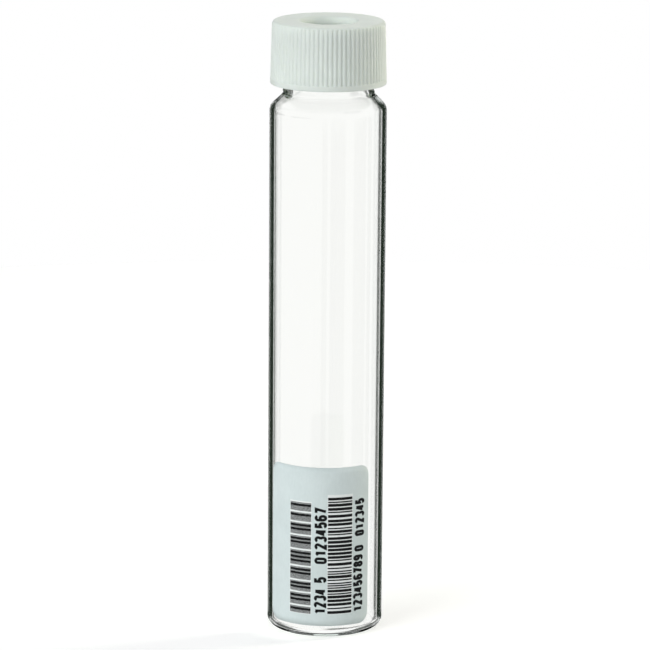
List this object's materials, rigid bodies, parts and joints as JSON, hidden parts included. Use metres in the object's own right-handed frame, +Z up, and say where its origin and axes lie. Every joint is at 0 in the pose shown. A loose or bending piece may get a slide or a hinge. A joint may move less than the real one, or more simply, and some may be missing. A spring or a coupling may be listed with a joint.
{
  "type": "glass sample vial",
  "caption": "Tall clear glass sample vial with a screw neck, a ribbed open-top cap over a septum, and a paper label on its side.",
  "frame": {"origin": "centre of the foot, on the surface that the vial stands on", "axes": "+Z up the vial's axis, -Y to the front that the label faces"},
  "size_m": [0.0274, 0.0276, 0.146],
  "materials": {
    "glass": "clear, fire polished",
    "cap_plastic": "moulded, satin",
    "septum_rubber": "silicone faced with a smooth film",
    "label_paper": "matt coated paper"
  },
  "bodies": {
    "vial": {"glass_vial": "glass", "label": "label_paper"},
    "septum": {"septum": "septum_rubber"},
    "cap": {"screw_cap": "cap_plastic"}
  },
  "joints": [
    {"name": "cap_lift", "type": "slide", "parent": "vial", "child": "septum", "axis": [0, 0, 1], "range_m": [0, 0.01271]},
    {"name": "cap_turn", "type": "hinge", "parent": "septum", "child": "cap", "pos_m": [0, 0, 0.146], "axis": [0, 0, 1], "range_deg": [0, 1440]}
  ],
  "couplings": [
    {"joint": "cap_lift", "follows": "cap_turn", "m_per_rad": 0.00050532}
  ]
}
